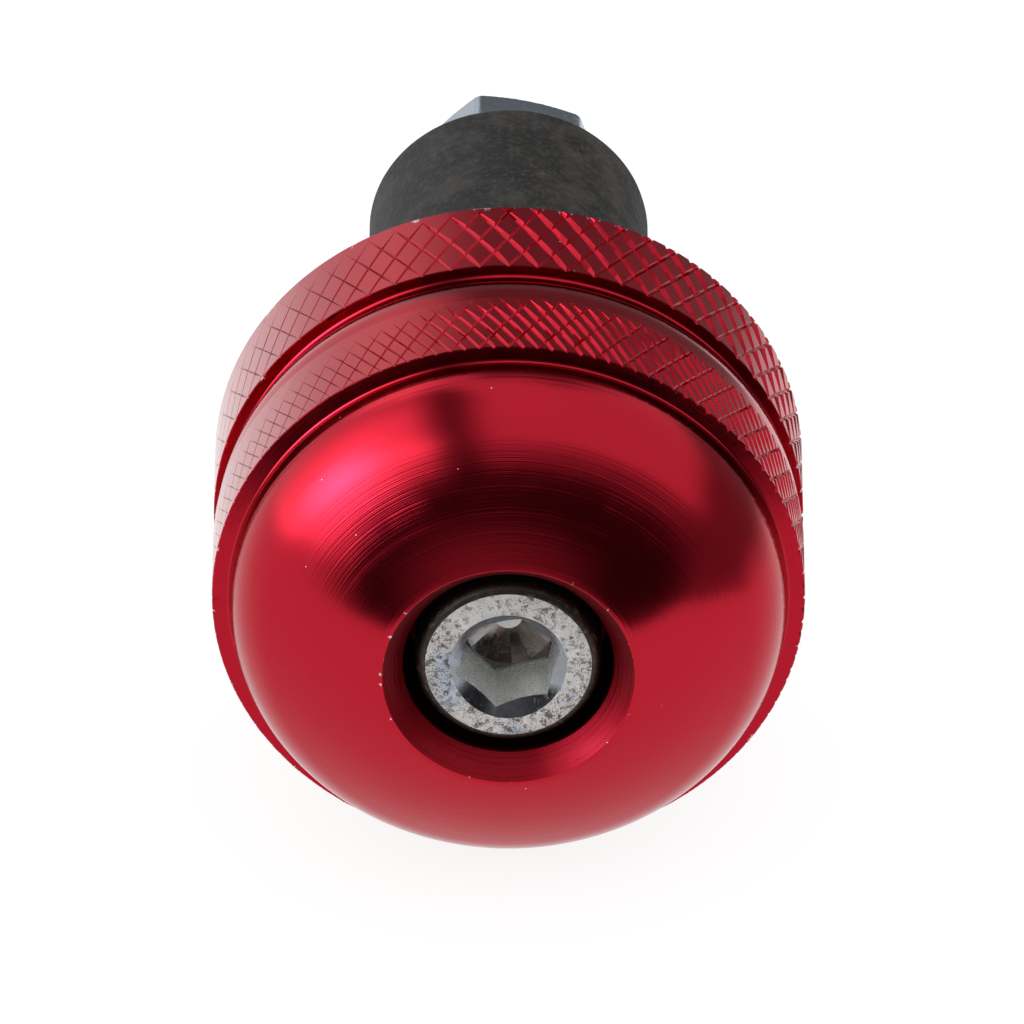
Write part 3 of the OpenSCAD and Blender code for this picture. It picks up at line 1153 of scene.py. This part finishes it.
def sleeve_profile():
    """Once round the tube's wall."""
    outside = [(SLEEVE_R, SLEEVE_L * k / SLEEVE_LOOPS) for k in range(1, SLEEVE_LOOPS)]
    round_r, round_y = SLEEVE_R - SLEEVE_ROUND, SLEEVE_L - SLEEVE_ROUND
    return [
        (BORE_R, 0),
        (SLEEVE_R - 0.15, 0),
        (SLEEVE_R, 0.15),
        *outside,
        *arc(round_r, round_y, SLEEVE_ROUND, math.pi / 2, math.pi, 6),
        (SHANK_R + 1.6, SLEEVE_L),
        (BORE_R + 0.3, SLEEVE_L),
        (BORE_R, SLEEVE_L - 0.3),
        (BORE_R, 0),
    ]


def build_sleeve():
    """The rubber sleeve, a little out of true."""
    bm = turned_mesh(sleeve_profile(), SLEEVE_STEPS)
    for vert in bm.verts:
        radius = ring_radius(vert.co)
        if radius > BORE_R + 1 and vert.co.y > 0.01:
            waves = noise.noise(vert.co * 0.12) + 0.3 * noise.noise(vert.co * 0.6)
            set_radius(vert, radius - UNEVENNESS * abs(waves))
    return bm


finish_piece(build_sleeve(), "rubber_tube", "rubber_sleeve", [rubber], math.radians(40))

# %% Building the nut
NUT_Y = SLEEVE_L
NUT_L = box_mm("hex_nut")[1].y - NUT_Y
NUT_HALF = 5.0
NUT_TURN = -17.0
NUT_CORNER_R = 5.7
NUT_BORE_R = 2.62
NUT_CHAMFER_SLOPE = math.tan(math.radians(30))
NUT_LOOPS = 10


def nut_profile():
    """Once round the nut's wall, with many loops where its corners are chamfered."""
    near_end = [0.05 * k for k in range(NUT_LOOPS)]
    outside = [(NUT_HALF, NUT_Y + d) for d in near_end]
    outside += [(NUT_HALF, NUT_Y + NUT_L - d) for d in reversed(near_end)]
    return [
        (NUT_BORE_R, NUT_Y + 0.4),
        (SHANK_R + 0.05, NUT_Y),
        *outside,
        (SHANK_R + 0.15, NUT_Y + NUT_L),
        (NUT_BORE_R, NUT_Y + NUT_L - 0.5),
        (NUT_BORE_R, NUT_Y + 0.4),
    ]


def press_nut(bm):
    """Presses the outside to a hexagon within the two chamfering cones."""
    for vert in bm.verts:
        if ring_radius(vert.co) < NUT_HALF - 0.01:
            continue
        from_end = min(vert.co.y - NUT_Y, NUT_Y + NUT_L - vert.co.y)
        cone = NUT_HALF - 0.1 + max(0.0, from_end) / NUT_CHAMFER_SLOPE
        side = hexagon_radius(ring_turn(vert.co), NUT_HALF, NUT_TURN)
        set_radius(vert, min(side, cone, NUT_CORNER_R))


def build_nut():
    """The nut with chamfered corners."""
    bm = turned_mesh(nut_profile(), HEX_STEPS, NUT_TURN)
    press_nut(bm)
    return bm


finish_piece(build_nut(), "plain_nut", "hex_nut", [nut_zinc], math.radians(26))

# %% [markdown]
# ## Floor
#
# The weight lies on a plain white table. The floor is half a real surface, which takes
# the shadow, and half a white light that only camera, mirror and glass rays see, so
# that it looks white there without throwing more light on the object.

# %% Floor
FLOOR_FRONT, FLOOR_BACK, FLOOR_LEFT, FLOOR_RIGHT = -0.072, 0.5, -0.5, 0.07
FLOOR_GLOW = 0.8
FLOOR_WHITE = (0.85, 0.85, 0.85, 1)
WHITE = (1, 1, 1, 1)
FLOOR_LIGHT = 1.1
FLOOR_IN_MIRRORS = 0.85


def rays_that_look(tree):
    """How much of the floor's own white each kind of ray sees."""
    camera = tree.node("ShaderNodeLightPath", output="Is Camera Ray")
    glossy = tree.node("ShaderNodeLightPath", output="Is Glossy Ray")
    clear = tree.node("ShaderNodeLightPath", output="Is Transmission Ray")
    return camera.maths("MAXIMUM", glossy * FLOOR_IN_MIRRORS).maths("MAXIMUM", clear)


def white_floor():
    """A pale surface with its own white for the rays that look at it."""
    material, tree = new_tree("floor_white")
    diffuse = tree.node("ShaderNodeBsdfDiffuse", None, {"Color": FLOOR_WHITE})
    light = {"Color": WHITE, "Strength": FLOOR_LIGHT}
    glow = tree.node("ShaderNodeEmission", None, light)
    factor = rays_that_look(tree) * FLOOR_GLOW
    mixed = tree.node("ShaderNodeMixShader", None, {0: factor, 1: diffuse, 2: glow})
    tree.node("ShaderNodeOutputMaterial", None, {"Surface": mixed})
    return material


def build_floor(z):
    """The white floor at a height, in metres."""
    bm = bmesh.new()
    bmesh.ops.create_grid(bm, x_segments=1, y_segments=1, size=0.5)
    size = (FLOOR_RIGHT - FLOOR_LEFT, FLOOR_BACK - FLOOR_FRONT, 1)
    middle = ((FLOOR_RIGHT + FLOOR_LEFT) / 2, (FLOOR_BACK + FLOOR_FRONT) / 2, z)
    bmesh.ops.scale(bm, vec=size, verts=bm.verts)
    bmesh.ops.translate(bm, vec=middle, verts=bm.verts)
    mesh = bpy.data.meshes.new("floor")
    bm.to_mesh(mesh)
    bm.free()
    mesh.materials.append(white_floor())
    return add_object("floor", mesh)


floor = build_floor(cad_box[0][2])
print("floor at", round(floor.data.vertices[0].co.z, 4), "m")

# %% [markdown]
# ## Studio
#
# A shiny part shows its surroundings more than its own colour, so the studio is drawn
# as a sky of soft panels: a bright one to the left with a cool lamp in it, a pale
# ceiling, and a dark gap where the camera stands. Only mirrored rays see the panels:
# dull surfaces get one even light, and the camera itself sees plain white behind the
# object.

# %% Levels of the studio's panels
EVEN_LIGHT = 1.05
CEILING, CEILING_RISE = 0.9, 0.06
DISTANCE = 0.25
BEHIND = 0.2
SIDE_WALL, SIDE_WALL_FALL = 2.5, 0.8
LAMP, LAMP_COLOUR = 7.2, (0.92, 1.15, 1.5, 1)
LIGHT_STRIP = 1.8
DARK_GAP = 0.17
ARCH, ARCH_GLOW = 0.022, 0.27


def lay(under, mask, strength):
    """Lays a panel of some strength over what is there."""
    return (1 - mask) * under + mask * strength


def sky_angles(tree):
    """Azimuth from the camera's side, elevation, and lean to the left of the zenith."""
    direction = tree.node("ShaderNodeTexCoord", output="Generated")
    x, y, z = parts_of(tree, direction)
    degrees = 180 / math.pi
    azimuth = x.maths("ARCTAN2", y * -1) * degrees
    elevation = z.maths("ARCSINE") * degrees
    tilt = (x * -1).maths("ARCTAN2", z) * degrees
    return azimuth, elevation, tilt


# %% Panels of the studio
def far_panels(azimuth, elevation):
    """The ceiling and the floor's light, and the greyer room on the right and behind."""
    level = lay(CEILING + elevation.ramp(50, 90) * CEILING_RISE, elevation.ramp(0, -6), 1.0)
    horizon = elevation - (azimuth.ramp(55, 95) * 10 - 8)
    level = lay(level, azimuth.between(54, 160, 9) * horizon.between(-14, 18, 8), DISTANCE)
    behind = azimuth.ramp(136, 156).maths("MAXIMUM", azimuth.ramp(-158, -174))
    return lay(level, behind * elevation.between(-4, 58, 6), BEHIND)


def left_panels(level, azimuth, elevation, tilt, lamp):
    """The bright wall on the left with its lamp, a strip behind it and a gap above it."""
    side = (azimuth - elevation * 0.4).ramp(-34, -50) * tilt.ramp(20, 36)
    wall = side * azimuth.ramp(-138, -85) * elevation.ramp(-6, 5)
    level = lay(level, wall, SIDE_WALL - elevation.ramp(30, 60) * SIDE_WALL_FALL)
    level = lay(level, lamp, LAMP)
    strip = azimuth.between(-152, -132, 6) * elevation.between(24, 50, 6)
    level = lay(level, strip, LIGHT_STRIP)
    gap = tilt.between(12, 28, 8) * elevation.ramp(20, 30) * azimuth.ramp(-152, -132)
    return lay(level, gap, DARK_GAP)


def off_ellipse(azimuth, elevation, middle, half_width):
    """Distance from the middle of the arch: 1 on an ellipse of this half width."""
    across = (azimuth - middle) / half_width
    above = (elevation + 3) / 42
    return (across * across + above * above).maths("SQRT")


def camera_side(level, azimuth, elevation):
    """The dark arch of the camera's side, a little lighter in its middle."""
    arch = off_ellipse(azimuth, elevation, 3, 53).ramp(1.2, 0.84) * elevation.ramp(-28, -14)
    glow = off_ellipse(azimuth, elevation, -4, 50).ramp(0.7, 0.2) * ARCH_GLOW
    return lay(level, arch, ARCH + glow)


# %% Studio sky
def studio_sky():
    """A world whose panels are set by azimuth and elevation in degrees."""
    world = bpy.data.worlds.new("studio")
    world.use_nodes = True
    bpy.context.scene.world = world
    tree = Tree(world.node_tree)
    azimuth, elevation, tilt = sky_angles(tree)
    lamp = azimuth.between(-84, -48, 16) * elevation.between(10, 34, 12)
    level = far_panels(azimuth, elevation)
    level = left_panels(level, azimuth, elevation, tilt, lamp)
    level = camera_side(level, azimuth, elevation)
    mirrored = tree.node("ShaderNodeLightPath", output="Is Glossy Ray")
    seen = tree.node("ShaderNodeLightPath", output="Is Camera Ray")
    strength = lay(lay(EVEN_LIGHT, mirrored, level), seen, 1.0)
    colour = mix_colour(tree, lamp * mirrored, WHITE, LAMP_COLOUR)
    light = {"Color": colour, "Strength": strength}
    background = tree.node("ShaderNodeBackground", None, light)
    tree.node("ShaderNodeOutputWorld", None, {"Surface": background})
    return world


sky = studio_sky()
print("studio sky:", len(sky.node_tree.nodes), "nodes")

# %% [markdown]
# ## Camera
#
# The photograph was taken with a long lens from above the dome, so it has almost no
# perspective. The lens and the distance come from how much smaller the far end of the
# sleeve looks than the near end, and the place from the middle of the mouth.

# %% Camera
ELEVATION = math.radians(32.75)
PHOTO_PX = 1024
FOCAL_PX = 20000
SENSOR_MM = 36.0
MOUTH_PX = (508.45, 677.1)
MOUTH_DISTANCE = 1.0723


def place_camera():
    """A long lens whose view puts the middle of the mouth where the photograph has it."""
    data = bpy.data.cameras.new("camera")
    data.sensor_width = SENSOR_MM
    data.lens = FOCAL_PX * SENSOR_MM / PHOTO_PX
    data.clip_start, data.clip_end = 0.1, 20
    camera = add_object("camera", data)
    bpy.context.scene.camera = camera
    forward = Vector((0, math.cos(ELEVATION), -math.sin(ELEVATION)))
    up = Vector((0, math.sin(ELEVATION), math.cos(ELEVATION)))
    right = Vector((1, 0, 0))
    metres_per_px = MOUTH_DISTANCE / FOCAL_PX
    offset = [(pixel - PHOTO_PX / 2) * metres_per_px for pixel in MOUTH_PX]
    mouth = Vector((0, MOUTH_Y * MM, 0))
    camera.location = mouth - forward * MOUTH_DISTANCE - right * offset[0] + up * offset[1]
    camera.rotation_euler = (math.pi / 2 - ELEVATION, 0, 0)
    return camera


camera = place_camera()
print("camera at", [round(c, 4) for c in camera.location])

# %% Finish
bpy.context.scene.view_settings.view_transform = "Standard"
